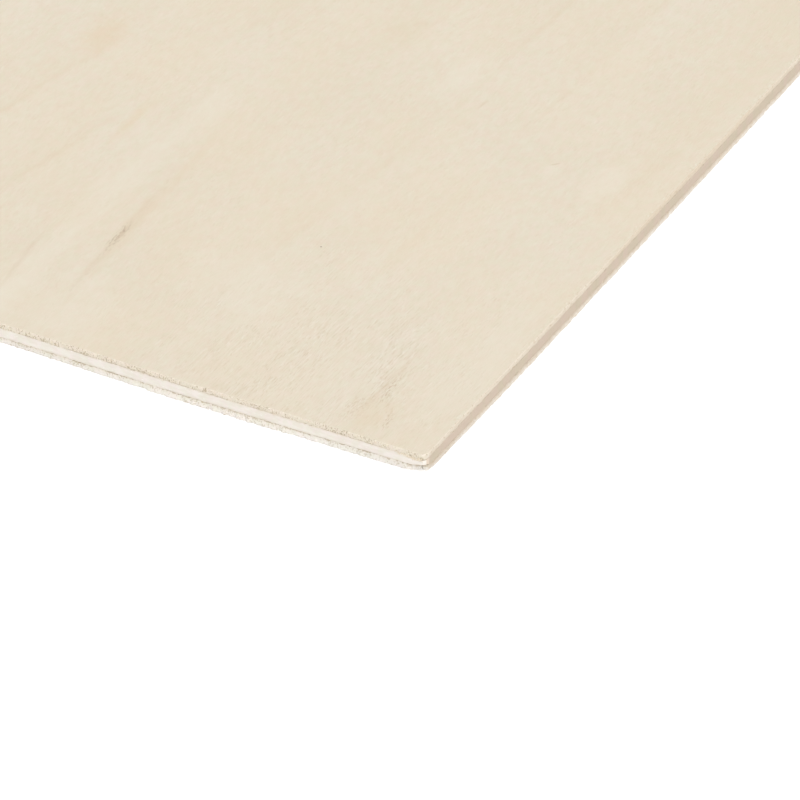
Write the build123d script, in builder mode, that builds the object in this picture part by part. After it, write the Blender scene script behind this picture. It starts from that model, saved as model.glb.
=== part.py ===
from build123d import *
import os

os.makedirs("parts", exist_ok=True)

# A three-ply plywood sheet lying flat, in millimetres.
# The grain of the two outer veneers runs along the length, on Y. The core veneer is
# laid across them, with its grain on X, which keeps the sheet from warping.
# The origin is under the middle of the sheet, and Z is up.

# Sheet size, as it is sawn
sheet_length = 600.0
sheet_width = 300.0

# Veneers, sanded
face_thickness = 1.0
core_thickness = 2.0
back_thickness = 1.0

# Sanding rounds the outer arrises that run with the grain. The sawn ends, across the
# grain, keep a sharp arris, because their fibres tear instead of wearing round.
arris_radius = 0.15

# The levels of the two glue joints
back_joint = back_thickness
face_joint = back_joint + core_thickness

# Back veneer, the underside of the sheet
with BuildPart() as back_veneer:
    with BuildSketch(Plane.XY):
        Rectangle(sheet_width, sheet_length)
    extrude(amount=back_thickness)
    lower_arrises = back_veneer.edges().group_by(Axis.Z)[0].filter_by(Axis.Y)
    fillet(lower_arrises, radius=arris_radius)
back_veneer.part.label = "back_veneer"
export_step(back_veneer.part, "parts/back_veneer.step")

# Core veneer, glued between the two and sawn flush with them on all four sides
with BuildPart() as core_veneer:
    with BuildSketch(Plane.XY.offset(back_joint)):
        Rectangle(sheet_width, sheet_length)
    extrude(amount=core_thickness)
core_veneer.part.label = "core_veneer"
export_step(core_veneer.part, "parts/core_veneer.step")

# Face veneer, the show side
with BuildPart() as face_veneer:
    with BuildSketch(Plane.XY.offset(face_joint)):
        Rectangle(sheet_width, sheet_length)
    extrude(amount=face_thickness)
    upper_arrises = face_veneer.edges().group_by(Axis.Z)[-1].filter_by(Axis.Y)
    fillet(upper_arrises, radius=arris_radius)
face_veneer.part.label = "face_veneer"
export_step(face_veneer.part, "parts/face_veneer.step")
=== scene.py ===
import math

import bpy
import numpy as np
from mathutils import Matrix, Vector
from mathutils.geometry import delaunay_2d_cdt


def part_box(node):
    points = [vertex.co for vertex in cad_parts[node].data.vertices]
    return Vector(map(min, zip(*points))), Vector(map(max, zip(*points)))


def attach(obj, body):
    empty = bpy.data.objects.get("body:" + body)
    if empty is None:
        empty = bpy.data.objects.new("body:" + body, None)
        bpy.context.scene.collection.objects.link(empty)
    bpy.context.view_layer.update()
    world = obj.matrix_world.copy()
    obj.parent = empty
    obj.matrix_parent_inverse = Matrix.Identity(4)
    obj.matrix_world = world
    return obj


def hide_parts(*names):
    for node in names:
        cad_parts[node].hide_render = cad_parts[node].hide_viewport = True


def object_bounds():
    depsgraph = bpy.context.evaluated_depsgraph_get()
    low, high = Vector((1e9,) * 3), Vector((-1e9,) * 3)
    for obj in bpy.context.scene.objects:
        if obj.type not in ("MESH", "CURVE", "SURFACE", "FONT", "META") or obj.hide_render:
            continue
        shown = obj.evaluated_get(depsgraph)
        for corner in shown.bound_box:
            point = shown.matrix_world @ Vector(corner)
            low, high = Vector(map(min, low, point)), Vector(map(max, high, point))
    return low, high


# A three-ply plywood sheet, dressed: each veneer is a mesh with its own sawn edges,
# over the solid that it replaces, with the wood's grain as node materials.

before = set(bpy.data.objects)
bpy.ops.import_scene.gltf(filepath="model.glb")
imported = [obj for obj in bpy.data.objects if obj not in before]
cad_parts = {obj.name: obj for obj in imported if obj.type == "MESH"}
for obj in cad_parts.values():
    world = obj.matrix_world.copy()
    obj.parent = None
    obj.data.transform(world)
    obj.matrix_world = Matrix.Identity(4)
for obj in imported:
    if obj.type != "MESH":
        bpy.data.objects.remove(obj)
cad_low, cad_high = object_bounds()

MM = 0.001
JOINTS = [corner.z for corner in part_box("core_veneer")]   # heights of the lower and the upper glue joint

# The view of the photo
VIEW_AZIMUTH = math.radians(28.40)
VIEW_ELEVATION = math.radians(34.75)
LENS_MM = 400.0
SENSOR_MM = 36.0
CLIP = (0.1, 100.0)
PHOTO_SIDE = 800.0
CORNER_PIXEL = (425.65, 461.14)   # the near corner, at the upper glue joint
CORNER_DISTANCE = 1551.9 * MM

# The studio
SKY_LEVEL = 0.5                   # even light from all round
SUN_LEVEL = 2.0                   # soft light from over the camera, a little to its right
SUN_WAY = (0.42, -0.46, 0.78)
SUN_SPREAD = math.radians(50)
FLOOR_HALF_SIDE = 40.0
FLOOR_LEVEL = -0.02 * MM
FLOOR_TONE = 0.92
FLOOR_GLOW = 0.16                 # brings the floor that shows up to white

# The walls: the two ends that are sawn across the length, and the two long edges
FRONT_END, RIGHT_EDGE, BACK_END, LEFT_EDGE = range(4)
ENDS = (FRONT_END, BACK_END)

# The outline of the sheet. A pitch is between two of its points, finest where the photo looks
WALL_PITCHES = (0.14 * MM, 0.35 * MM, 0.2 * MM, 0.8 * MM)
CORNER_PITCH = 0.2 * MM           # on the long edges within CORNER_REACH of a corner
CORNER_REACH = 4.0 * MM
CORNER_FADE = 0.8 * MM            # the relief dies out over this distance from a corner
CORNER_RADII = (0.7 * MM, 1.5 * MM, 0.8 * MM, 0.6 * MM)   # left, near, right and far
NEAR_RADIUS = CORNER_RADII[1]
ARRIS = 0.15 * MM                 # the long edges' rim, rounded by sanding
SHARP_ANGLE = math.radians(50)
FLAT_DEPTHS = (1.0, 2.2, 5.0, 11.0, 25.0, 60.0, 110.0)    # of the loops of points in a flat, in mm

# Relief of a cut, in layers: depth, pitch along it and pitch up it, in mm
TORN = (
    (0.03, 0.2, 0.45),            # fine bundles of cross-cut fibres
    (0.04, 0.55, 0.4),            # clumps of them
    (0.03, 6, 9),                 # the saw's wavy path
)
PLANED = (
    (0.008, 1.1, 1.5),            # faint marks of the teeth
    (0.015, 9, 9),
)

# Along the two walls of the near corner, at distances from it: how far out the saw strayed, and how far
# the lowest fibres are pushed out, in mm
SAW_STRAY = {
    FRONT_END: ((0, 16, 36, 50, 60, 78, 84, 120), (0, 0, 0.14, 0.14, 0.02, -0.14, -0.2, 0)),
    RIGHT_EDGE: ((0, 12, 42, 80, 105, 130, 180), (0, 0, 0.15, 0.15, 0.12, 0.06, 0)),
}
BURR = {
    FRONT_END: (
        (0, 4, 8, 24, 32, 46, 54, 62, 70, 84),
        (0, 0.05, 0.18, 0.24, 0.46, 0.46, 0.36, 0.26, 0.16, 0.1),
    ),
    RIGHT_EDGE: ((0, 6, 10, 16, 40), (-0.04, -0.02, 0, 0.1, 0.17)),
}
BURR_ELSEWHERE = 0.1 * MM

# The near corner is knocked: at distances from KNOCK_CENTRE, how far its lower joint is pushed up, how far
# its upper joint hangs down, and how far the back veneer is broken away, in mm
KNOCK_CENTRE = (-0.5 * MM, 0.1 * MM)   # from the sharp corner
KNOCK_AWAY = (0.3, 0.8, 1.4, 2.0, 2.6, 3.2, 3.8, 8.0, 22.0)
KNOCK_JOINT = (0.70, 0.74, 0.58, 0.34, 0.26, 0.24, 0.22, 0.18, 0.0)
KNOCK_HANG = (0.28, 0.28, 0.32, 0.34, 0.28, 0.08, 0.0, 0.0, 0.0)
KNOCK_CUT = (1.85, 1.36, 0.86, 0.50, 0.20, 0.06, 0.0, 0.0, 0.0)
HANG_ENDS = (0.5 * MM, 1.2 * MM)       # the upper joint hangs only this near to the front end
KNOCK_TURN = 0.7 * NEAR_RADIUS         # how far round the corner the front end's look goes on

# The grooves at the glue joints are lumpy, and at distances from the near corner along the front end, in mm,
# they are this much deeper
GROOVE_PITCH = 1.3 * MM
GROOVE_AWAY = (1.2, 3.2)
GROOVE_DEEPER = (1.6, 0.0)

# A torn fibre, as shares of its length or width: where its second ring of points is, and how thick it is
FIBRE_MIDDLE = 0.55
FIBRE_THICKNESS = 0.9
FIBRE_TAPER = 0.6                 # the power that its width falls by

UNWORN_PLACE = "unworn_place"     # the attribute that holds where each point was before the knock

# The map that the veneers are laid out on, as shares of the square
MAP_NAME = "OFBake"
MAP_MARGIN = 0.004
MAP_FLAT = (0.003, 0.80)          # the flat that shows
MAP_WALLS = (0.81, 0.038)         # the first wall, and the step from wall to wall
MAP_WALL_HEIGHT = 0.032
MAP_FIBRES = (0.963, 0.978)
MAP_FIBRE_COLUMNS = 8             # about how many columns of fibres there are for each row
MAP_FIBRE_FILL = 0.8              # how much of its cell a fibre takes
MAP_HIDDEN = (0.985, 0.997)       # the flat that is glued down


# Outline and relief

def by_distance(table, wall, distance, elsewhere=0.0):
    """A value of SAW_STRAY or BURR, and elsewhere on the walls that it leaves out."""
    if wall not in table:
        return elsewhere + 0.0 * distance
    return np.interp(distance / MM, *table[wall]) * MM


def eased(share):
    """A share from 0 to 1 that starts and ends gently."""
    return share * share * (3 - 2 * share)


def ripple(rng, along, up, pitch_along, pitch_up):
    """Smooth random heights from -1 to 1 over a grid of places, with a knot at each pitch."""
    along, up = np.broadcast_arrays(along / pitch_along, up / pitch_up)
    column, row = np.floor(along).astype(int), np.floor(up).astype(int)
    knots = rng.uniform(-1, 1, (column.max() + 2, row.max() + 2))
    s, t = eased(along - column), eased(up - row)
    lower = knots[column, row] * (1 - s) + knots[column + 1, row] * s
    upper = knots[column, row + 1] * (1 - s) + knots[column + 1, row + 1] * s
    return lower * (1 - t) + upper * t


class Outline:
    """The sheet's outline from above, counter-clockwise, with its upright corners rounded."""

    def __init__(self, low, high):
        places = ((low.x, low.y), (high.x, low.y), (high.x, high.y), (low.x, high.y))
        corners = [Vector(place) for place in places]
        points, normals, walls, along, like_end = [], [], [], [], []
        for wall in range(4):
            start, end = corners[wall], corners[(wall + 1) % 4]
            length = (end - start).length
            tangent = (end - start) / length
            normal = Vector((tangent.y, -tangent.x))
            for distance in self.stations(wall, length):
                from_near = length - distance if wall == FRONT_END else distance
                stray = normal * float(by_distance(SAW_STRAY, wall, from_near))
                at_start = distance < length / 2
                corner = start if at_start else end
                radius = CORNER_RADII[wall if at_start else (wall + 1) % 4]
                towards, left = (-tangent, distance) if at_start else (tangent, length - distance)
                way, place = normal, start + tangent * distance
                # This near to a corner, the point is on its arc
                if left < radius:
                    turn = math.pi / 4 * (1 - left / radius)
                    way = normal * math.cos(turn) + towards * math.sin(turn)
                    place = corner + (way - towards - normal) * radius
                points.append(place + stray)
                normals.append(way)
                walls.append(wall)
                along.append(distance)
                like_end.append(wall in ENDS or wall == RIGHT_EDGE and distance < KNOCK_TURN)
        self.low, self.high = low, high
        self.knocked = np.array(corners[1]) + KNOCK_CENTRE
        self.points, self.normals = np.array(points), np.array(normals)
        self.walls, self.along, self.like_end = np.array(walls), np.array(along), like_end
        self.lengths = np.array([high.x - low.x, high.y - low.y] * 2)
        self.from_near = np.where(self.walls == FRONT_END, self.lengths[0] - self.along, self.along)
        from_corner = np.minimum(self.along, self.lengths[self.walls] - self.along)
        self.fade = eased(np.clip(from_corner / CORNER_FADE, 0, 1))
        steps = np.linalg.norm(np.diff(self.points, axis=0), axis=1)
        self.travel = np.concatenate([[0.0], np.cumsum(steps)])

    @staticmethod
    def stations(wall, length):
        """Distances of the points of one wall, closer together near the corners of a long edge."""
        if wall in ENDS:
            return np.linspace(0, length, round(length / WALL_PITCHES[wall]), endpoint=False)
        near = np.linspace(0, CORNER_REACH, round(CORNER_REACH / CORNER_PITCH), endpoint=False)
        count = round((length - 2 * CORNER_REACH) / WALL_PITCHES[wall])
        middle = np.linspace(CORNER_REACH, length - CORNER_REACH, count, endpoint=False)
        return np.concatenate([near, middle, near + length - CORNER_REACH])

    def either(self, on_ends, on_edges):
        """One value on the sawn ends and another on the long edges."""
        return np.where(np.isin(self.walls, ENDS), on_ends, on_edges)

    def ring(self, inset, height):
        """The outline moved in by inset, at the given heights."""
        flat = self.points - self.normals * np.broadcast_to(inset, len(self.points))[:, None]
        return np.column_stack([flat, np.broadcast_to(height, len(self.points))])

    def lumps(self, rng, pitch):
        """Smooth random heights from -1 to 1 along the outline."""
        return ripple(rng, self.travel, 0.0, pitch, 1.0)

    def relief(self, rng, heights, layers):
        """How far a cut stands out along the outline, at each of the heights."""
        along, up = self.travel[None, :], heights[:, None]
        return sum(
            depth * MM * ripple(rng, along, up, pitch_along * MM, pitch_up * MM)
            for depth, pitch_along, pitch_up in layers
        )

    def chips(self, rng, pitch, above):
        """Where bundles have broken out of a rim, 0 to 1."""
        return np.clip((self.lumps(rng, pitch) - above) / (1 - above), 0, 1) * self.fade

    def near_knock(self, points, values):
        """Each point's value from one of the KNOCK rows, in metres."""
        away = np.linalg.norm(points[:, :2] - self.knocked, axis=1)
        return np.interp(away / MM, KNOCK_AWAY, values) * MM

    def knock(self, points):
        """Pushes the lower joint of the knocked corner up into the core, and lets its upper joint hang."""
        height = np.maximum(points[:, 2], 0.0)
        lower, upper = JOINTS
        on_front = np.interp(points[:, 1] - self.low.y, HANG_ENDS, [1.0, 0.0])
        rising = np.interp(height, [0.0, lower, upper], [0.0, 1.0, 0.0])
        hanging = np.interp(height, [lower, upper, self.high.z], [0.0, 1.0, 0.0])
        rise = self.near_knock(points, KNOCK_JOINT) * rising
        rise -= self.near_knock(points, KNOCK_HANG) * on_front * hanging
        return np.column_stack([points[:, :2], height + rise])


# Meshes

def fill_flat(ring, low, high, fine):
    """Triangles that close a ring of points, with more points in between where the flat shows."""
    extra = []
    if fine:
        for depth in FLAT_DEPTHS:
            depth *= MM
            width, length = high.x - low.x - 2 * depth, high.y - low.y - 2 * depth
            across, lengthwise = max(2, round(width / depth)), max(2, round(length / depth))
            for step in range(across):
                x = width * step / across
                extra += [(low.x + depth + x, low.y + depth), (high.x - depth - x, high.y - depth)]
            for step in range(lengthwise):
                y = length * step / lengthwise
                extra += [(high.x - depth, low.y + depth + y), (low.x + depth, high.y - depth - y)]
    # The triangulation works best on numbers near 1, so it gets millimetres
    places = [Vector((x / MM, y / MM)) for x, y in [*ring, *extra]]
    points, _, triangles, origins, *_ = delaunay_2d_cdt(places, [], [list(range(len(ring)))], 1, 1e-5)
    return [(point.x * MM, point.y * MM) for point in points], triangles, origins


class Shell:
    """A veneer's closed mesh, from its rings' insets and heights. They run from flat to flat."""

    def __init__(self, outline, rings, end_slot, edge_slot, bottom_shows, top_shows):
        self.outline = outline
        self.points, self.faces, self.slots, self.uvs = [], [], [], []
        self.count = 0
        rings = [outline.ring(inset, height) for inset, height in rings]
        first, last = self.add_walls(rings, end_slot, edge_slot)
        self.add_flat(first, rings[0], False, bottom_shows)
        self.add_flat(last, rings[-1], True, top_shows)

    def add_points(self, points):
        first = self.count
        self.points.append(points)
        self.count += len(points)
        return first

    def add_face(self, corners, slot, uvs):
        self.faces.append(corners)
        self.slots.append(slot)
        self.uvs.append(uvs)

    def add_walls(self, rings, end_slot, edge_slot):
        """Joins rings, from the bottom inside edge round to the top inside edge."""
        outline = self.outline
        n = len(outline.points)
        first = self.add_points(np.concatenate(rings))
        shares = np.linspace(0, 1, len(rings))
        nearest = outline.along / outline.lengths[outline.walls]
        for row in range(len(rings) - 1):
            for column in range(n):
                following = (column + 1) % n
                wall = outline.walls[column]
                a, b = first + row * n + column, first + row * n + following
                start = nearest[column]
                end = nearest[following] if outline.walls[following] == wall else 1.0
                base = MAP_WALLS[0] + MAP_WALLS[1] * wall
                bottom, top = (base + share * MAP_WALL_HEIGHT for share in shares[row:row + 2])
                slot = end_slot if outline.like_end[column] else edge_slot
                uvs = ((start, bottom), (end, bottom), (end, top), (start, top))
                self.add_face((a, b, b + n, a + n), slot, uvs)
        return first, first + (len(rings) - 1) * n

    def add_flat(self, ring_first, ring, upwards, visible):
        low, high = self.outline.low, self.outline.high
        points, triangles, origins = fill_flat(ring[:, :2], low, high, visible)
        index = []
        extra = []
        for place, sources in zip(points, origins):
            on_ring = [source for source in sources if source < len(ring)]
            if on_ring:
                index.append(ring_first + on_ring[0])
            else:
                index.append(self.count + len(extra))
                extra.append((*place, ring[0, 2]))
        if extra:
            self.add_points(np.array(extra))
        bottom, top = MAP_FLAT if visible else MAP_HIDDEN
        uvs = [
            (MAP_MARGIN + (1 - 2 * MAP_MARGIN) * (x - low.x) / (high.x - low.x),
             bottom + (top - bottom) * (y - low.y) / (high.y - low.y))
            for x, y in points
        ]
        for triangle in triangles:
            if not upwards:
                triangle = triangle[::-1]
            self.add_face(tuple(index[i] for i in triangle), 0, [uvs[i] for i in triangle])

    def add_slivers(self, slivers, slot):
        """Torn fibres: each is a closed, tapering, three-sided sliver."""
        columns = math.ceil(math.sqrt(len(slivers) * MAP_FIBRE_COLUMNS)) + 1
        rows = math.ceil(len(slivers) / columns) + 1
        bottom, band = MAP_FIBRES[0], MAP_FIBRES[1] - MAP_FIBRES[0]
        wide, high = MAP_FIBRE_FILL / columns, MAP_FIBRE_FILL * band / rows
        for number, (root, way, bend, length, width) in enumerate(slivers):
            side = way.cross(Vector((0, 0, 1))).normalized()
            rise = side.cross(way).normalized()
            points = []
            for share in (0.0, FIBRE_MIDDLE):
                middle = root + way * (length * share) + bend * (length * share * share)
                half = width / 2 * (1 - share) ** FIBRE_TAPER
                points += [middle + side * half, middle - side * half, middle + rise * half * FIBRE_THICKNESS]
            points.append(root + way * length + bend * length)
            first = self.add_points(np.array([list(point) for point in points]))
            u = (number % columns) / columns
            v = bottom + band * (number // columns) / rows
            uvs = ((u, v), (u + wide, v), (u + wide, v + high), (u, v + high))
            for k in range(3):
                a, b = first + k, first + (k + 1) % 3
                self.add_face((b, a, a + 3, b + 3), slot, uvs)
                self.add_face((b + 3, a + 3, first + 6), slot, uvs[:3])
            self.add_face((first, first + 1, first + 2), slot, uvs[:3])

    def finish(self, name, node, materials):
        mesh = bpy.data.meshes.new(name)
        unworn = np.concatenate(self.points)
        mesh.from_pydata(self.outline.knock(unworn).tolist(), [], self.faces)
        # The grain follows the wood that the knock has moved
        place = mesh.attributes.new(UNWORN_PLACE, "FLOAT_VECTOR", "POINT")
        place.data.foreach_set("vector", unworn.astype(np.float32).ravel())
        for material in materials:
            mesh.materials.append(material)
        mesh.polygons.foreach_set("material_index", self.slots)
        layer = mesh.uv_layers.new(name=MAP_NAME)
        layer.data.foreach_set("uv", np.array([uv for face in self.uvs for uv in face], np.float32).ravel())
        mesh.polygons.foreach_set("use_smooth", [True] * len(self.faces))
        mesh.validate()
        mesh.set_sharp_from_angle(angle=SHARP_ANGLE)
        piece = bpy.data.objects.new(name, mesh)
        bpy.context.scene.collection.objects.link(piece)
        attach(piece, "root")
        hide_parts(node)


# Node wiring

class Value:
    """An output of a node. Arithmetic on it adds math nodes, and [] picks another output of its node."""

    def __init__(self, wiring, node, output=0):
        self.wiring, self.node, self.socket = wiring, node, node.outputs[output]

    def __getitem__(self, output):
        return Value(self.wiring, self.node, output)

    def __add__(self, other):
        return self.wiring.math("ADD", self, other)

    def __sub__(self, other):
        return self.wiring.math("SUBTRACT", self, other)

    def __rsub__(self, other):
        return self.wiring.math("SUBTRACT", other, self)

    def __mul__(self, other):
        return self.wiring.math("MULTIPLY", self, other)

    def __truediv__(self, other):
        return self.wiring.math("DIVIDE", self, other)

    def __abs__(self):
        return self.wiring.math("ABSOLUTE", self)


class Wiring:
    """Adds nodes to one tree. They are fed with Values, or with plain numbers, vectors or colours."""

    def __init__(self, tree):
        self.tree = tree

    def feed(self, socket, value):
        if isinstance(value, Value):
            self.tree.links.new(value.socket, socket)
        else:
            socket.default_value = value

    def node(self, kind, settings=None, inputs=None):
        """The first output of a new node."""
        node = self.tree.nodes.new(kind)
        for name, value in (settings or {}).items():
            setattr(node, name, value)
        for name, value in (inputs or {}).items():
            self.feed(node.inputs[name], value)
        return Value(self, node)

    def math(self, operation, a, b=0.0, clamp=False):
        return self.node("ShaderNodeMath", {"operation": operation, "use_clamp": clamp}, {0: a, 1: b})

    def vector_math(self, operation, a, b=(0.0, 0.0, 0.0)):
        return self.node("ShaderNodeVectorMath", {"operation": operation}, {0: a, 1: b})

    def moved(self, place, *offset):
        return self.vector_math("ADD", place, offset)

    def parts(self, vector):
        return self.node("ShaderNodeSeparateXYZ", {}, {0: vector})

    def combined(self, x, y, z=0.0):
        return self.node("ShaderNodeCombineXYZ", {}, {0: x, 1: y, 2: z})

    def noise(self, place, size, detail=2.0, roughness=0.5):
        """Noise in lumps of a size along each axis. A size of 0 leaves that axis out."""
        scaled = self.vector_math("MULTIPLY", place, [1 / length if length else 0.0 for length in size])
        inputs = {"Vector": scaled, "Scale": 1.0, "Detail": detail, "Roughness": roughness}
        return self.node("ShaderNodeTexNoise", {}, inputs)["Fac"]

    def ramp(self, value, low, high, bottom=0.0, top=1.0, kind="SMOOTHSTEP"):
        inputs = {"Value": value, "From Min": low, "From Max": high, "To Min": bottom, "To Max": top}
        return self.node("ShaderNodeMapRange", {"interpolation_type": kind}, inputs)

    def even_ramp(self, value, low, high):
        return self.ramp(value, low, high, kind="LINEAR")

    def mix(self, share, a, b):
        """From colour a to colour b. A plain colour is given as it shows on screen, 0 to 255."""
        a, b = (colour if isinstance(colour, Value) else linear(colour) for colour in (a, b))
        return self.node("ShaderNodeMix", {"data_type": "RGBA"}, {"Factor": share, 6: a, 7: b})[2]

    def group(self, group, *values):
        """A node group, fed in the order of its inputs."""
        return self.node("ShaderNodeGroup", {"node_tree": group}, dict(enumerate(values)))


def linear(colour):
    """A colour from the screen, 0 to 255, as the linear one that a shader takes."""
    shares = [channel / 255 for channel in colour]
    return (*[c / 12.92 if c <= 0.04045 else ((c + 0.055) / 1.055) ** 2.4 for c in shares], 1.0)


def new_group(name, inputs, outputs):
    """A shader node group: (the group, its wiring, its inputs, its outputs)."""
    group = bpy.data.node_groups.new(name, "ShaderNodeTree")
    for label, value in inputs.items():
        kind = "NodeSocketVector" if isinstance(value, tuple) else "NodeSocketFloat"
        socket = group.interface.new_socket(label, in_out="INPUT", socket_type=kind)
        socket.default_value = value
    for label in outputs:
        group.interface.new_socket(label, in_out="OUTPUT", socket_type="NodeSocketFloat")
    w = Wiring(group)
    return group, w, w.node("NodeGroupInput"), group.nodes.new("NodeGroupOutput").inputs


def growth_figure_group():
    """Growth rings as a peeled veneer shows them: broad flames with one edge sharper than the other."""
    sockets = {"Place": (0, 0, 0), "Ring Width": 22, "Wander": 60, "Seed": (0, 0, 0)}
    group, w, inputs, outputs = new_group("growth_figure", sockets, ["Tone", "Line"])
    place = w.vector_math("ADD", inputs["Place"], inputs["Seed"])
    drift = (w.noise(place, (95, 330, 0), 1) - 0.5) * inputs["Wander"]
    fray = (w.noise(place, (7, 22, 0), 4, 0.6) - 0.5) * 9
    across = w.parts(place)[0] + drift + fray
    share = w.math("FRACT", across / inputs["Ring Width"])
    w.feed(outputs["Tone"], w.ramp(share, 0, 0.86) * w.ramp(share, 0.88, 1, 1, 0))
    w.feed(outputs["Line"], w.ramp(share, 0.84, 0.9) * w.ramp(share, 0.9, 0.96, 1, 0))
    return group


def grain_strokes_group():
    """Short strokes, drawn out as far as their size says."""
    sockets = {"Place": (0, 0, 0), "Stroke Size": (0.2, 2, 0.2), "Threshold": 0.6, "Softness": 0.08}
    group, w, inputs, outputs = new_group("grain_strokes", sockets, ["Strokes"])
    place = w.vector_math("DIVIDE", inputs["Place"], inputs["Stroke Size"])
    low = inputs["Threshold"]
    high = low + inputs["Softness"]
    w.feed(outputs["Strokes"], w.ramp(w.noise(place, (1, 1, 1), 1.5), low, high))
    return group


def placed_mark_group():
    """One mark at a place on the sheet, drawn out along the grain, with ragged sides."""
    sockets = {"Place": (0, 0, 0), "Centre": (0, 0, 0), "Half Size": (1, 5, 1),
               "Lean": 0, "Raggedness": 0.5, "Softness": 0.6}
    group, w, inputs, outputs = new_group("placed_mark", sockets, ["Mask"])
    x, y, _ = w.parts(w.vector_math("SUBTRACT", inputs["Place"], inputs["Centre"]))
    share = w.vector_math("DIVIDE", w.combined(x - y * inputs["Lean"], y), inputs["Half Size"])
    distance = w.vector_math("LENGTH", share)["Value"]
    stretched = w.vector_math("ADD", w.vector_math("MULTIPLY", share, (1.6, 2.6, 0)), inputs["Centre"])
    fray = (w.noise(stretched, (1, 1, 1), 4, 0.62) - 0.5) * inputs["Raggedness"]
    w.feed(outputs["Mask"], w.ramp(distance + fray, 1 - inputs["Softness"], 1, 1, 0))
    return group


def glue_line_group():
    """The film at a glue joint, broken where the glue has soaked in. Level and Thickness are in mm."""
    sockets = {"Place": (0, 0, 0), "Level": 0, "Thickness": 0.1, "Dash": 1.2, "Breaks": 0.45}
    group, w, inputs, outputs = new_group("glue_line", sockets, ["Mask"])
    place, dash, breaks = inputs["Place"], inputs["Dash"], inputs["Breaks"]
    waver = (w.noise(place, (0.8, 0.8, 0)) - 0.5) * 2.4
    off = (w.parts(place)[2] - inputs["Level"]) / inputs["Thickness"]
    near = w.ramp(abs(off - waver), 0.4, 1, 1, 0)
    dashes = w.noise(w.vector_math("DIVIDE", place, w.combined(dash, dash, dash)), (1, 1, 5), 3, 0.6)
    w.feed(outputs["Mask"], near * w.ramp(dashes, breaks, breaks + 0.1))
    return group


growth_figure = growth_figure_group()
grain_strokes = grain_strokes_group()
placed_mark = placed_mark_group()
glue_line = glue_line_group()


# Marks on the wood. A mark is placed from the near corner in mm: how far in along the end, and up the
# length. Then come its half size across and along, lean, raggedness and softness. A stain has a tint and a
# strength before its mark, and specks are stains that are broken into short dashes

PALE = (237, 229, 212)
FACE_STAINS = (
    # Pale patches
    (PALE, 0.42, (90.5, 18), (5.5, 24), 0.05, 1.5, 0.9),
    (PALE, 0.5, (92, 4), (9, 10), 0, 1.5, 0.9),
    (PALE, 0.36, (80, 9), (15, 18), 0, 1.9, 1),
    (PALE, 0.35, (4, 28), (7, 36), 0, 1.5, 0.9),
    (PALE, 0.35, (54, 32), (15, 20), 0, 1.9, 1),
    (PALE, 0.42, (90, 52), (5.2, 26), 0.04, 1.5, 0.9),
    (PALE, 0.38, (88, 78), (5, 18), 0.06, 1.6, 0.9),
    (PALE, 0.38, (52, 112), (5, 13), 0.1, 1.5, 0.9),
    ((240, 231, 215), 0.34, (12, 93), (4.6, 11), 0.1, 1.6, 0.7),
    ((241, 232, 217), 0.22, (23, 90.5), (2, 3.6), 0, 1.4, 0.8),
    (PALE, 0.45, (160, 470), (10, 70), 0.04, 1.5, 0.9),
    (PALE, 0.4, (231, 110), (8, 60), -0.05, 1.5, 0.9),
    # Warm bands, streaks and blotches
    ((229, 211, 185), 0.4, (81.3, 46), (2.6, 44), -0.03, 1.8, 1),
    ((216, 197, 169), 0.2, (81.3, 32), (1.6, 27), -0.05, 2, 1),
    ((218, 198, 170), 0.2, (82.4, 46), (1.1, 9), -0.03, 1.6, 1),
    ((212, 194, 166), 0.24, (93.4, 20), (0.9, 15), -0.12, 1.9, 1),
    ((229, 208, 176), 0.36, (98.6, 70), (1.8, 13), 0, 1.6, 1),
    ((231, 216, 192), 0.26, (54.5, 56), (2.9, 50), 0.18, 1.8, 1),
    ((229, 212, 184), 0.24, (34, 60), (2.6, 34), 0.04, 2.2, 1),
    ((227, 208, 178), 0.36, (14.5, 7), (5.5, 9), 0, 1.9, 0.9),
    ((216, 197, 168), 0.26, (16.4, 17), (1.2, 14), 0.04, 2.2, 1),
    ((228, 203, 172), 0.37, (117.6, 92), (6.5, 9), 0, 1.8, 1),
    ((226, 210, 182), 0.3, (69, 120), (6.5, 8), 0, 1.9, 1),
    ((214, 195, 166), 0.34, (196, 420), (1.8, 46), 0.03, 2, 1),
    ((222, 204, 176), 0.36, (128, 285), (2.4, 62), -0.05, 2.2, 1),
    ((217, 198, 169), 0.32, (252, 200), (1.5, 40), 0.04, 2.2, 1),
    # Small marks
    ((202, 179, 154), 0.4, (81.6, 35.8), (0.55, 4.6), -0.04, 1.2, 0.9),
    ((146, 126, 104), 0.75, (47.8, 49), (0.22, 0.26), 0, 0.3, 0.6),
    ((150, 128, 104), 0.7, (252.3, 172), (0.35, 0.7), 0, 0.4, 0.6),
    ((206, 184, 152), 0.4, (23.2, 93.2), (0.35, 1), 0.9, 0.6, 0.7),
    ((214, 192, 160), 0.28, (44.3, 105), (0.45, 2), 0.1, 1, 0.8),
)
FACE_SPECKS = (
    ((164, 141, 119), 0.43, (81.7, 34.6), (1.2, 6.8), -0.04, 1.1, 0.7),
    ((186, 164, 136), 0.1, (81, 20), (1.5, 16), -0.06, 1.8, 0.9),
    ((190, 162, 128), 0.44, (15.3, 15.2), (1.1, 6.5), -0.08, 1.4, 0.7),
    ((186, 160, 126), 0.4, (11, 6.4), (0.9, 4.4), -0.2, 1.4, 0.7),
    ((196, 170, 138), 0.3, (18, 7.5), (2.6, 6.5), 0.05, 1.6, 0.9),
    ((160, 140, 116), 0.56, (196.4, 437), (1.4, 9), 0.02, 1.1, 0.7),
    ((168, 146, 120), 0.5, (128.6, 268), (1.1, 5.5), -0.03, 1.1, 0.7),
)
# Painted shade: the rim of the right edge is darker further from the near corner, dulling the highlight on
# its rounded arris
RIM_PAINTED_SHADE = (((222, 204, 179), 0.5, (0, 104), (3, 48), 0, 1, 0.6),)

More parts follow.
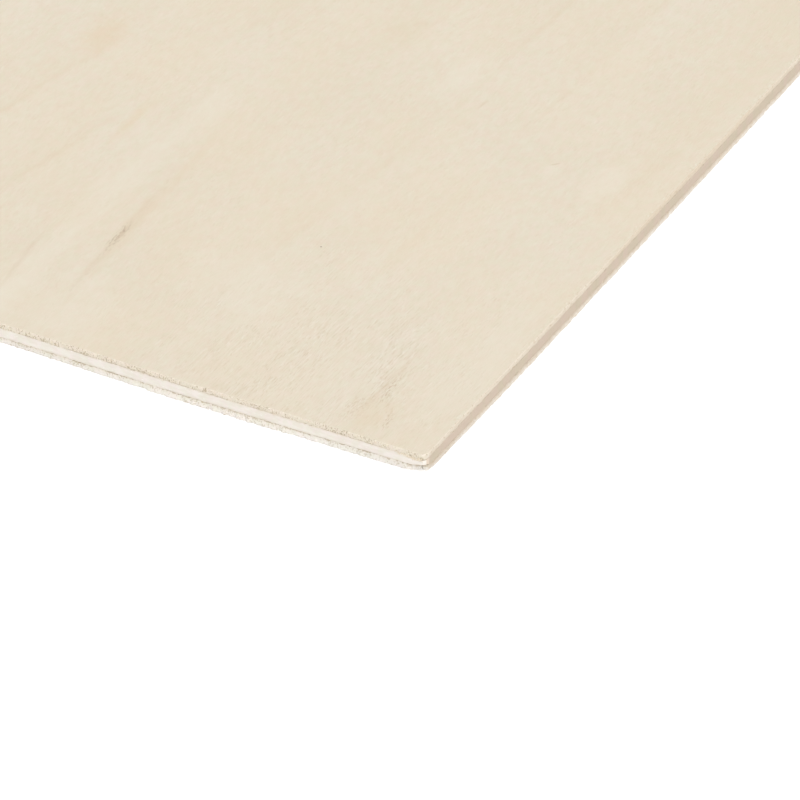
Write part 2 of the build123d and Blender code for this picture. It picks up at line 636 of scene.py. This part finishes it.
# Where the fibres are torn up by the sanding belt, and where the figure is faint
NEAR_END_ROUGH = ((27, 18), (47, 42))
NEAR_END_PLAIN = ((55, 60), (110, 150))
MIDDLE = ((cad_high.x / MM, -cad_low.y / MM), (90, 120))

# The knocked corner: glue lines drawn unbroken as painted shade in its opened joints, where the core is
# freshly broken and soiled, painted light on the back veneer's shaded broken wall, and painted shade under
# the core
OPENED_JOINT_SHADE = ((1, 0.2), (2.6, 1.6), 0, 0.2, 0.4)
CORE_BRUISES = (
    ((251, 245, 236), 0.35, (2.4, 0.1), (4, 1.5)),
    ((222, 196, 170), 0.6, (0.05, 0.95), (0.6, 0.42)),
)
# Painted light on the back veneer at the knocked corner, where its broken wall faces down into shade and a
# gap shows dark; the last mark lightens the front end faintly further from the corner
BACK_PAINTED_LIGHT = (
    ((251, 247, 241), 0.5, (1.6, 0.3), (3.6, 2.6)),
    ((240, 232, 220), 0.6, (0.7, 0.3), (1.2, 1.2)),
    ((248, 246, 244), 0.16, (15, 0), (14, 3)),
)
# Painted shade on the back veneer under the overhanging core, at the knocked corner
OVERHANG_SHADE = (
    ((186, 164, 128), 0.5, (0.9, 0.3), (1.7, 2.2), 0, 0.3, 0.3),
    ((186, 164, 128), 0.35, (3.3, 0.3), (0.6, 2.2), 0, 0.3, 0.5),
)

# Glue lines: level and thickness in mm, strength, and how much of the line is missing
LOWER_JOINT, UPPER_JOINT = (height / MM for height in JOINTS)
UPPER_LINE = (UPPER_JOINT, 0.13, 0.65, 0.56)
LOWER_LINE = (LOWER_JOINT, 0.12, 0.5, 0.56)
GLUE_COLOUR = (178, 162, 134)


# Materials

class Wood(Wiring):
    """A material's Principled shader, the place on the sheet in mm, and the wood's colour so far."""

    def __init__(self, name):
        self.material = bpy.data.materials.new(name)
        self.material.use_nodes = True
        super().__init__(self.material.node_tree)
        self.shader = self.tree.nodes["Principled BSDF"]
        self.shader.inputs["Specular IOR Level"].default_value = 0.3
        unworn = self.node("ShaderNodeAttribute", {"attribute_name": UNWORN_PLACE})["Vector"]
        self.place = self.vector_math("MULTIPLY", unworn, (1 / MM, 1 / MM, 1 / MM))
        self.colour = None

    def paint(self, share, tint):
        self.colour = self.mix(share, self.colour, tint)

    def marked(self, centre, half_size, lean=0, raggedness=0.5, softness=0.6):
        """Where one mark is, 0 to 1."""
        centre = (cad_high.x / MM - centre[0], cad_low.y / MM + centre[1], 0)
        return self.group(placed_mark, self.place, centre, (*half_size, 1), lean, raggedness, softness)

    def stain(self, stains, within=1):
        for tint, strength, *mark in stains:
            self.paint(self.marked(*mark) * within * strength, tint)

    def strokes(self, place, size, threshold, softness):
        return self.group(grain_strokes, place, size, threshold, softness)

    def glue(self, lines, dash, mended=0):
        """Draws glue lines in dashes of a length. mended is how much less broken they are."""
        for level, thickness, strength, breaks in lines:
            line = self.group(glue_line, self.place, level, thickness, dash, breaks - mended)
            self.paint(line * strength, GLUE_COLOUR)

    def finish(self, roughness, height=None, height_mm=0):
        self.feed(self.shader.inputs["Base Color"], self.colour)
        self.feed(self.shader.inputs["Roughness"], roughness)
        if height is not None:
            bump = self.node("ShaderNodeBump", {}, {"Height": height, "Distance": height_mm * MM})
            self.feed(self.shader.inputs["Normal"], bump)
        return self.material


def veneer_material(name, seed, stains, specks, rough_place, plain_place):
    """A sanded, peeled veneer: clouds and flames of warmer wood, fine strokes and flecks along the grain."""
    w = Wood(name)
    place = w.moved(w.place, *seed)
    figure = w.group(growth_figure, w.place, 31, 190, seed)
    figured = 1 - w.marked(*plain_place, 0, 0.8, 0.8) * 0.8
    cloud = w.ramp(w.noise(place, (11, 23, 0), 5, 0.6), 0.28, 0.72)
    mottle = w.noise(place, (1.3, 3, 0), 4, 0.68)
    broad = w.ramp(w.noise(place, (60, 160, 0)), 0.3, 0.7)
    warmer = cloud * 0.34 + w.ramp(mottle, 0.29, 0.71) * 0.66 + figure["Tone"] * figured * 0.38
    warmer = w.math("ADD", warmer, broad * 0.22, clamp=True)
    w.colour = w.mix(warmer, (235.5, 227.5, 211.8), (227.3, 215.2, 193.2))
    hue = w.ramp(w.noise(w.moved(place, 31, 5, 0), (2.4, 3.6, 0), 4, 0.7), 0.38, 0.62)
    w.paint(0.42, w.mix(hue, (230, 223.4, 200.4), (235.4, 218, 200.4)))
    warmth = w.ramp(w.noise(w.moved(place, 12, 77, 0), (21, 33, 0), 3, 0.65), 0.3, 0.7)
    w.paint(warmth * 0.28, (237, 220, 194))
    here = w.ramp(w.noise(place, (34, 60, 0), 3, 0.6), 0.45, 0.6)
    w.paint(figure["Line"] * here * figured * 0.34, (222, 200, 170))
    # The grain stands out more, and is a little bleached, where the sanding belt has torn the fibres
    rough = w.marked(*rough_place, 0, 1.2, 0.9)
    w.paint(rough * 0.08, (238, 230, 216))
    lively = w.ramp(w.noise(w.moved(place, 7.7, 3.1, 0), (8, 17, 0), 4, 0.6), 0.34, 0.66)
    fibres = w.noise(place, (0.34, 5, 0), 3, 0.6)
    contrast = (rough * 0.44 + 0.12) * (lively * 0.6 + 0.65)
    w.paint(w.ramp(fibres, 0.45, 0.85) * contrast, (219, 204, 179))
    w.paint(w.ramp(fibres, 0.52, 0.15) * contrast, (243, 235, 221))
    depth = rough * 0.08 + 0.2 + lively * (rough * 0.4 + 0.12)
    limit = 0.59 - rough * 0.02
    long_strokes = w.strokes(place, (0.26, 2.4, 0.2), limit, 0.14)
    short_strokes = w.strokes(w.moved(place, 3.3, 9.1, 0), (0.34, 1.4, 0.3), 0.61, 0.1)
    dark = w.math("MAXIMUM", long_strokes, short_strokes * 0.8) * depth
    w.paint(dark * 0.68, (212, 194, 165))
    light = w.strokes(w.moved(place, 0.16, 0.4, 0), (0.28, 1.8, 0.3), limit, 0.12) * depth
    w.paint(light * 0.58, (245, 237, 222))
    # Beside the long edges there are nicks, more in some stretches than in others
    half_width = cad_high.x / MM
    rim = w.ramp(abs(w.parts(w.place)[0]), half_width - 1.4, half_width - 0.2)
    nicked = rim * w.ramp(w.noise(place, (0, 7, 0), 2), 0.4, 0.62, 0.15, 0.85)
    nicks = w.noise(place, (0.35, 0.8, 0), 3, 0.6)
    w.paint(nicked * w.ramp(nicks, 0.54, 0.68), (216, 197, 168))
    w.paint(nicked * w.ramp(nicks, 0.46, 0.3), (249, 242, 230))
    w.stain(stains)
    if specks:
        w.stain(specks, w.strokes(w.place, (0.24, 1.1, 0.2), 0.49, 0.13))
    return w.finish(mottle * 0.16 + 0.6, light - dark, 0.03)


def torn_material(name, seed, colours, tints, contrast, shaded_gaps, line, painted_light=(), shade_heights=None):
    """Cross-cut ends of an outer veneer: broken bundles of fibres, some lifted and pale, with painted shade
    in the gaps between them.

    colours: two (height, colour) pairs. tints: a warm, a cool and a pale one.
    shaded_gaps: the heights where the painted shade in the gaps is most and least common, its size, and its
    colour.
    shade_heights: the two heights between which painted shade darkens the knocked corner towards its joint,
    under the overhanging core."""
    w = Wood(name)
    place = w.moved(w.place, *seed)
    height = w.parts(w.place)[2]
    (low, low_colour), (high, high_colour) = colours
    warm, cool, pale = tints
    shade_gap_heights, shade_gap_size, gap_shade_colour = shaded_gaps
    w.colour = w.mix(w.even_ramp(height, low, high), low_colour, high_colour)
    # Some stretches are cut clean, and in others the saw has torn out bundles
    deep = w.ramp(w.noise(place, (3.2, 3.2, 5), 3, 0.65), 0.42, 0.6)
    hue = w.noise(place, (1.9, 1.9, 1.5), 2, 0.6)
    w.paint(0.35, w.mix(w.ramp(hue, 0.42, 0.58), warm, cool))
    bundles = w.noise(place, (0.27, 0.5, 0.8), 3, 0.62)
    w.paint(w.ramp(bundles, 0.38, 0.66) * (0.34 * contrast), pale)
    limit = 0.575 - deep * 0.125 + w.even_ramp(height, *shade_gap_heights) * 0.09
    # Painted shade: the gaps between torn bundles are darkened where shade falls in them
    dark = w.strokes(w.moved(place, 5.3, 2.2, 8.1), shade_gap_size, limit, 0.12)
    w.paint(dark * (0.76 * contrast), gap_shade_colour)
    # Painted light where the knocked back veneer faces down into shade
    w.stain(painted_light)
    # Painted shade under the overhanging core at the knocked corner
    if shade_heights:
        w.stain(OVERHANG_SHADE, w.ramp(height, *shade_heights))
    # Glue lines, drawn unbroken as painted shade where the knocked joints have opened
    w.glue([line], 1.3, w.marked(*OPENED_JOINT_SHADE) * 0.35)
    return w.finish(bundles * 0.15 + 0.75, bundles, 0.05 * contrast)


def fibre_material(name, tint, tip, painted_light=()):
    """Lifted fibres, each a little different."""
    w = Wood(name)
    each = w.noise(w.place, (0.35, 0.6, 0.6), 2, 0.6)
    w.colour = w.mix(w.ramp(each, 0.35, 0.65), tint, tip)
    # Painted light, where it is given, on the fibres at the knocked corner
    w.stain(painted_light)
    return w.finish(0.8)


def core_long_grain_material(glue_lines):
    """The core veneer cut along its grain: smooth and pale, with faint fibre lines."""
    w = Wood("core_long_grain")
    lines = w.noise(w.place, (5, 5, 0.14), 3, 0.6)
    patches = w.noise(w.place, (2.2, 2.2, 0.9), 3, 0.6)
    w.colour = w.mix(w.ramp(patches, 0.36, 0.64), (243, 237, 229), (234, 226, 214))
    hue = w.noise(w.place, (1.9, 1.9, 2.2), 2, 0.6)
    w.paint(0.4, w.mix(w.ramp(hue, 0.42, 0.58), (243, 231.5, 226), (236, 232.5, 218)))
    w.paint(w.ramp(lines, 0.55, 0.75) * 0.3, (226, 214, 198))
    # The core is darker beside the joints, and a few chips get painted glints
    beside = w.ramp(abs(w.parts(w.place)[2] - (LOWER_JOINT + UPPER_JOINT) / 2), 0.45, 1)
    darker_near_joints = beside * w.ramp(w.noise(w.place, (1.5, 1.5, 2), 3, 0.6), 0.34, 0.66)
    w.paint(darker_near_joints * 0.65, (226, 214, 196))
    # Painted glints: near-white specks on a few chips
    w.paint(w.strokes(w.place, (0.8, 0.8, 0.3), 0.68, 0.06) * 0.8, (255, 252, 247))
    w.stain(CORE_BRUISES)
    # Glue lines, drawn unbroken as painted shade where the knocked joints have opened
    w.glue(glue_lines, 1.1, w.marked(*OPENED_JOINT_SHADE) * 0.35)
    return w.finish(lines * 0.15 + 0.6, lines, 0.02)


def core_end_grain_material(glue_lines):
    """The core veneer cut across its grain: brown-beige, mottled, with open pores."""
    w = Wood("core_end_grain")
    patches = w.noise(w.place, (2.6, 2.6, 9), 3, 0.55)
    pores = w.noise(w.place, (0.2, 0.2, 0.2), 2, 0.6)
    w.colour = w.mix(w.ramp(patches, 0.38, 0.62), (215, 197, 180), (211, 198, 176.5))
    w.paint(w.ramp(pores, 0.5, 0.75) * 0.34, (190, 171, 148))
    w.glue(glue_lines, 1)
    return w.finish(pores * 0.15 + 0.72, pores, 0.03)


def edge_material(name, seed, colours, line, stains=()):
    """The long edge of an outer veneer, cut along its grain. colours: three (height, colour) pairs."""
    w = Wood(name)
    place = w.moved(w.place, *seed)
    (low, low_colour), (middle, middle_colour), (high, high_colour) = colours
    wavy = w.parts(w.place)[2] + (w.noise(place, (0.8, 0.9, 0.9), 4, 0.65) - 0.5) * 1.3
    lower = w.mix(w.even_ramp(wavy, low, middle), low_colour, middle_colour)
    w.colour = w.mix(w.even_ramp(wavy, middle, high), lower, high_colour)
    worn = w.ramp(w.noise(w.moved(place, 3, 8, 5), (2, 5, 0.8), 4, 0.65), 0.46, 0.62)
    w.paint(worn * 0.3, (222, 206, 183))
    w.paint(w.strokes(place, (0.3, 0.8, 0.25), 0.58, 0.08) * 0.6, (200, 180, 152))
    fibres = w.noise(place, (0.2, 3, 0.16), 3, 0.6)
    w.paint(w.ramp(fibres, 0.5, 0.75) * 0.3, (243, 234, 218))
    w.stain(stains)
    w.glue([line], 1)
    return w.finish(fibres * 0.16 + 0.62, fibres, 0.02)


# Veneers

# Torn fibres on the front end: count, heights over the veneer's bottom in mm, their way sideways, outwards
# and upwards, length and width in mm, all of them ranges, and the share of the burr that they stand on
FACE_TUFTS = (
    # Over the rim, upright bundles, all over the cut, and over the core
    (900, (0.75, 0.96), (-0.1, 0.5), (0.5, 1.0), (0.1, 0.9), (0.2, 0.55), (0.06, 0.13), 0),
    (200, (0.1, 0.5), (-0.2, 0.3), (0.12, 0.3), (0.8, 1.0), (0.4, 0.95), (0.13, 0.24), 0),
    (800, (0.06, 0.8), (-0.2, 0.6), (0.4, 0.9), (-0.7, 0.5), (0.2, 0.5), (0.06, 0.13), 0),
    (260, (0.02, 0.2), (-0.3, 0.5), (0.2, 0.35), (-1.0, -0.8), (0.2, 0.6), (0.06, 0.12), 0),
)
# Beside the near corner, between two distances from it, the fibres are dragged down over the core
DRAGGED_TUFTS = ((110, (0.0, 0.35), (-0.3, 0.5), (0.14, 0.24), (-1.0, -0.8), (0.4, 0.9), (0.12, 0.24), 0),)
DRAGGED_BETWEEN = (5.5 * MM, 0.7 * MM)
BACK_TUFTS = (
    (650, (0.1, 0.9), (-0.3, 0.5), (0.4, 0.9), (-0.5, 0.5), (0.2, 0.45), (0.06, 0.12), 0),
    (1300, (0.04, 0.25), (-0.5, 0.6), (0.7, 1.0), (-0.05, 0.1), (0.25, 0.75), (0.05, 0.10), 0.9),
    (160, (0.85, 0.98), (-0.4, 0.4), (0.3, 0.5), (0.4, 1.0), (0.15, 0.45), (0.06, 0.12), 0),
)
BACK_END_SHARE = 0.6              # of the same fibres on the back end
ROOT_DEPTH = 0.05 * MM            # how deep in the cut they start


def tufts(rng, outline, end, base, rows, share=1.0, span=None):
    """Slivers rooted in a sawn end, over the veneer's base. share is the part of each row's count to make."""
    low, high = outline.low, outline.high
    face_y, sign = (low.y, -1.0) if end == FRONT_END else (high.y, 1.0)
    first, last = span or (low.x + NEAR_RADIUS, high.x - NEAR_RADIUS)
    slivers = []
    for count, heights, lean, outwards, upwards, length, width, pushed in rows:
        for _ in range(round(count * share)):
            x = rng.uniform(first, last)
            z = base + rng.uniform(*heights) * MM
            burr = by_distance(BURR, end, high.x - x, BURR_ELSEWHERE)
            out = by_distance(SAW_STRAY, end, high.x - x) + pushed * burr
            if end == FRONT_END and z < JOINTS[0]:
                out -= outline.near_knock(np.array([[x, face_y, z]]), KNOCK_CUT)[0]
            root = Vector((x, face_y + sign * (out - ROOT_DEPTH), z))
            way = Vector((rng.uniform(*lean), sign * rng.uniform(*outwards), rng.uniform(*upwards)))
            bend = Vector((rng.uniform(-0.3, 0.3), 0, rng.uniform(-0.3, 0.25)))
            size = rng.uniform(*length) * rng.uniform(0.4, 1.0) * MM
            slivers.append((root, way.normalized(), bend, size, rng.uniform(*width) * MM))
    return slivers


def wall_rings(rng, outline, bottom, top, shares, end_layers, bottom_groove, top_groove):
    """Insets and heights of a veneer's wall, from its bottom flat round to its top flat.

    A groove is how far the wall is set back at a glue joint."""
    heights = bottom + (top - bottom) * np.array(shares)
    on_ends = outline.relief(rng, heights - bottom, end_layers)
    on_edges = outline.relief(rng, heights - bottom, PLANED)
    insets = -outline.either(on_ends, on_edges) * outline.fade
    gap = 0.5 + 0.5 * outline.lumps(rng, GROOVE_PITCH)
    deeper = np.interp(outline.from_near / MM, GROOVE_AWAY, GROOVE_DEEPER)
    gap = gap + deeper * (outline.walls == FRONT_END)
    insets[0] += bottom_groove * gap
    insets[-1] += top_groove * gap
    return insets, heights


def make_face_veneer(outline, materials):
    rng = np.random.default_rng(11)
    low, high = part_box("face_veneer")
    shares = (0.0, 0.07, 0.22, 0.4, 0.58, 0.75, 0.88, 1.0)
    insets, heights = wall_rings(rng, outline, low.z, high.z, shares, TORN, 0.10 * MM, 0.0)
    broken = outline.chips(rng, 0.3 * MM, 0.15)
    either = outline.either
    # The rim is torn on the ends, and rounded by sanding on the long edges
    rim = (
        (insets[-2] + either(0.05 * MM * broken, 0.02 * MM), either(heights[-2], high.z - 0.75 * ARRIS)),
        (either(insets[-1] + 0.12 * MM * broken, 0.05 * MM),
         high.z - either(0.09 * MM * broken, 0.3 * ARRIS)),
        (either(0.16 * MM, 0.12 * MM), high.z - either(0.03 * MM * broken, 0.02 * ARRIS)),
    )
    rings = [(0.2 * MM, low.z), *zip(insets[:-2], heights[:-2]), *rim, (0.22 * MM, high.z)]
    shell = Shell(outline, rings, 1, 2, False, True)
    slivers = tufts(rng, outline, FRONT_END, low.z, FACE_TUFTS)
    slivers += tufts(rng, outline, BACK_END, low.z, FACE_TUFTS, BACK_END_SHARE)
    dragged = [outline.high.x - distance for distance in DRAGGED_BETWEEN]
    slivers += tufts(rng, outline, FRONT_END, low.z, DRAGGED_TUFTS, 1.0, dragged)
    shell.add_slivers(slivers, 3)
    shell.finish("face_veneer_wood", "face_veneer", materials)


def make_core_veneer(outline, materials):
    rng = np.random.default_rng(12)
    low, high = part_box("core_veneer")
    shares = (0.0, 0.04, 0.2, 0.5, 0.8, 0.96, 1.0)
    insets, heights = wall_rings(rng, outline, low.z, high.z, shares, PLANED, 0.14 * MM, 0.08 * MM)
    rings = [(0.24 * MM, low.z), *zip(insets, heights), (0.24 * MM, high.z)]
    shell = Shell(outline, rings, 0, 1, False, False)
    shell.finish("core_veneer_wood", "core_veneer", materials)


def make_back_veneer(outline, materials):
    rng = np.random.default_rng(13)
    low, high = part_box("back_veneer")
    shares = (0.0, 0.12, 0.28, 0.45, 0.62, 0.8, 0.93, 1.0)
    insets, heights = wall_rings(rng, outline, low.z, high.z, shares, TORN, 0.0, 0.12 * MM)
    broken = outline.chips(rng, 0.35 * MM, 0.0)
    nicked = outline.chips(rng, 0.9 * MM, 0.0)
    either = outline.either
    # The saw pushes the lowest fibres out, as a low burr
    lumps = 0.5 + 0.5 * outline.lumps(rng, 0.7 * MM)
    burr = BURR_ELSEWHERE
    for wall in BURR:
        burr = np.where(outline.walls == wall, by_distance(BURR, wall, outline.from_near), burr)
    burr = outline.fade * burr * (0.55 + 0.9 * lumps)
    burr_weights = (1.0, 1.0, 0.8, 0.5, 0.25, 0.1, 0.0, 0.0)
    # The knock broke it away over its whole height on the front, and only at the bottom round the corner
    facing_front = np.abs(outline.normals[:, 1])
    cut = outline.near_knock(outline.points, KNOCK_CUT) * (0.3 + 0.7 * facing_front)
    pushed = [
        inset - burr * weight + cut * (1 - share * (1 - facing_front))
        for inset, weight, share in zip(insets, burr_weights, shares)
    ]
    rim = (
        (0.16 * MM + cut, low.z),
        (pushed[0] + 0.05 * MM, low.z + 0.01 * MM * broken),
        (pushed[0] + either(0.12 * MM * broken, 0.05 * MM * nicked),
         low.z + either(0.10 * MM * broken, 0.03 * MM + 0.06 * MM * nicked)),
        (pushed[1] + either(0.05 * MM * broken, 0.02 * MM * nicked), heights[1]),
    )
    rings = [*rim, *zip(pushed[2:], heights[2:]), (0.2 * MM + cut * facing_front, high.z)]
    shell = Shell(outline, rings, 1, 2, True, False)
    slivers = tufts(rng, outline, FRONT_END, low.z, BACK_TUFTS)
    slivers += tufts(rng, outline, BACK_END, low.z, BACK_TUFTS, BACK_END_SHARE)
    shell.add_slivers(slivers, 3)
    shell.finish("back_veneer_wood", "back_veneer", materials)


# Studio

def make_camera():
    """The camera at the photo's view, placed so that the near corner falls on its pixel."""
    sine, cosine, level = math.sin(VIEW_AZIMUTH), math.cos(VIEW_AZIMUTH), math.cos(VIEW_ELEVATION)
    back = Vector((sine * level, -cosine * level, math.sin(VIEW_ELEVATION)))
    right = Vector((cosine, sine, 0.0))
    up = back.cross(right)
    focal_pixels = LENS_MM / SENSOR_MM * PHOTO_SIDE
    off_middle = [pixel - PHOTO_SIDE / 2 for pixel in CORNER_PIXEL]
    to_right, to_bottom = (pixels / focal_pixels * CORNER_DISTANCE for pixels in off_middle)
    corner = Vector((cad_high.x, cad_low.y, JOINTS[1]))
    data = bpy.data.cameras.new("camera")
    data.lens, data.sensor_width = LENS_MM, SENSOR_MM
    data.clip_start, data.clip_end = CLIP
    camera = bpy.data.objects.new("camera", data)
    place = corner + back * CORNER_DISTANCE - right * to_right + up * to_bottom
    turn = Matrix((right, up, back)).transposed()
    camera.matrix_world = Matrix.Translation(place) @ turn.to_4x4()
    bpy.context.scene.collection.objects.link(camera)
    bpy.context.scene.camera = camera


def seen_directly(w):
    """1 for rays that see the surface straight, in a gloss or through glass."""
    path = w.node("ShaderNodeLightPath")
    either = w.math("MAXIMUM", path["Is Camera Ray"], path["Is Glossy Ray"])
    return w.math("MAXIMUM", either, path["Is Transmission Ray"])


def make_lights():
    world = bpy.data.worlds.new("studio")
    bpy.context.scene.world = world
    world.use_nodes = True
    w = Wiring(world.node_tree)
    background = world.node_tree.nodes["Background"]
    background.inputs["Color"].default_value = (1.0, 1.0, 1.0, 1.0)
    w.feed(background.inputs["Strength"], seen_directly(w) * (1.0 - SKY_LEVEL) + SKY_LEVEL)
    sun = bpy.data.lights.new("soft_sun", "SUN")
    sun.energy = SUN_LEVEL
    sun.angle = SUN_SPREAD
    lamp = bpy.data.objects.new("soft_sun", sun)
    lamp.rotation_mode = "QUATERNION"
    lamp.rotation_quaternion = Vector(SUN_WAY).to_track_quat("Z", "Y")
    bpy.context.scene.collection.objects.link(lamp)


def make_floor():
    mesh = bpy.data.meshes.new("floor")
    side, level = FLOOR_HALF_SIDE, FLOOR_LEVEL
    corners = [(-side, -side, level), (side, -side, level), (side, side, level), (-side, side, level)]
    mesh.from_pydata(corners, [], [(0, 1, 2, 3)])
    floor = bpy.data.objects.new("floor", mesh)
    bpy.context.scene.collection.objects.link(floor)
    material = bpy.data.materials.new("white_floor")
    material.use_nodes = True
    w = Wiring(material.node_tree)
    shader = material.node_tree.nodes["Principled BSDF"]
    shader.inputs["Roughness"].default_value = 1.0
    shader.inputs["Specular IOR Level"].default_value = 0.0
    shader.inputs["Base Color"].default_value = (FLOOR_TONE, FLOOR_TONE, FLOOR_TONE, 1.0)
    shader.inputs["Emission Color"].default_value = (1.0, 1.0, 1.0, 1.0)
    w.feed(shader.inputs["Emission Strength"], seen_directly(w) * FLOOR_GLOW)
    mesh.materials.append(material)


# Assembly

make_camera()
make_lights()
make_floor()

face_grain = veneer_material(
    "face_grain", (17.0, 240.0, 0.0), FACE_STAINS, FACE_SPECKS, NEAR_END_ROUGH, NEAR_END_PLAIN,
)
back_grain = veneer_material("back_grain", (431.0, -90.0, 7.0), (), (), MIDDLE, MIDDLE)
face_torn = torn_material(
    "face_torn_ends", (3.0, 5.0, 9.0),
    colours=((3.05, (224, 213, 195)), (3.95, (233, 221, 202))),
    tints=((239, 225, 212), (231, 225, 203), (247, 239, 226)),
    contrast=1.0,
    shaded_gaps=((3.1, 4.1), (0.26, 0.6, 0.46), (179, 163, 134)),
    line=(UPPER_JOINT, 0.20, 0.64, 0.48),
)
back_torn = torn_material(
    "back_torn_ends", (51.0, 15.0, 2.0),
    colours=((-0.1, (234, 230, 227)), (0.95, (226, 218, 203))),
    tints=((236, 225, 218), (224, 223, 204), (240, 236, 230)),
    contrast=0.8,
    shaded_gaps=((0.95, -0.2), (0.24, 0.6, 0.30), (184, 171, 146)),
    line=(LOWER_JOINT, 0.20, 0.67, 0.48),
    painted_light=BACK_PAINTED_LIGHT,
    shade_heights=(0.40, 0.58),
)
face_edge_colours = ((2.85, (214, 199, 180)), (3.06, (226, 212, 194)), (3.45, (233.5, 221.5, 203)))
back_edge_colours = ((0.0, (241, 236, 228)), (0.5, (224, 213, 198)), (0.95, (213, 198, 179)))
# The face edge's rim is darkened with painted shade, away from the near corner
face_edge = edge_material("face_edge", (9.0, 3.0, 1.0), face_edge_colours, UPPER_LINE, RIM_PAINTED_SHADE)
back_edge = edge_material("back_edge", (2.0, 61.0, 4.0), back_edge_colours, LOWER_LINE)
core_long_grain = core_long_grain_material(((UPPER_JOINT, 0.12, 0.4, 0.5), (LOWER_JOINT, 0.15, 0.80, 0.47)))
core_end_grain = core_end_grain_material((UPPER_LINE, LOWER_LINE))
face_fibres = fibre_material("face_fibres", (224, 210, 186), (243, 233, 216))
back_fibres = fibre_material("back_fibres", (219, 213, 204), (236, 233, 230), BACK_PAINTED_LIGHT)

sheet = Outline(cad_low, cad_high)
make_face_veneer(sheet, [face_grain, face_torn, face_edge, face_fibres])
make_core_veneer(sheet, [core_long_grain, core_end_grain])
make_back_veneer(sheet, [back_grain, back_torn, back_edge, back_fibres])

bpy.context.scene.view_settings.view_transform = "Standard"
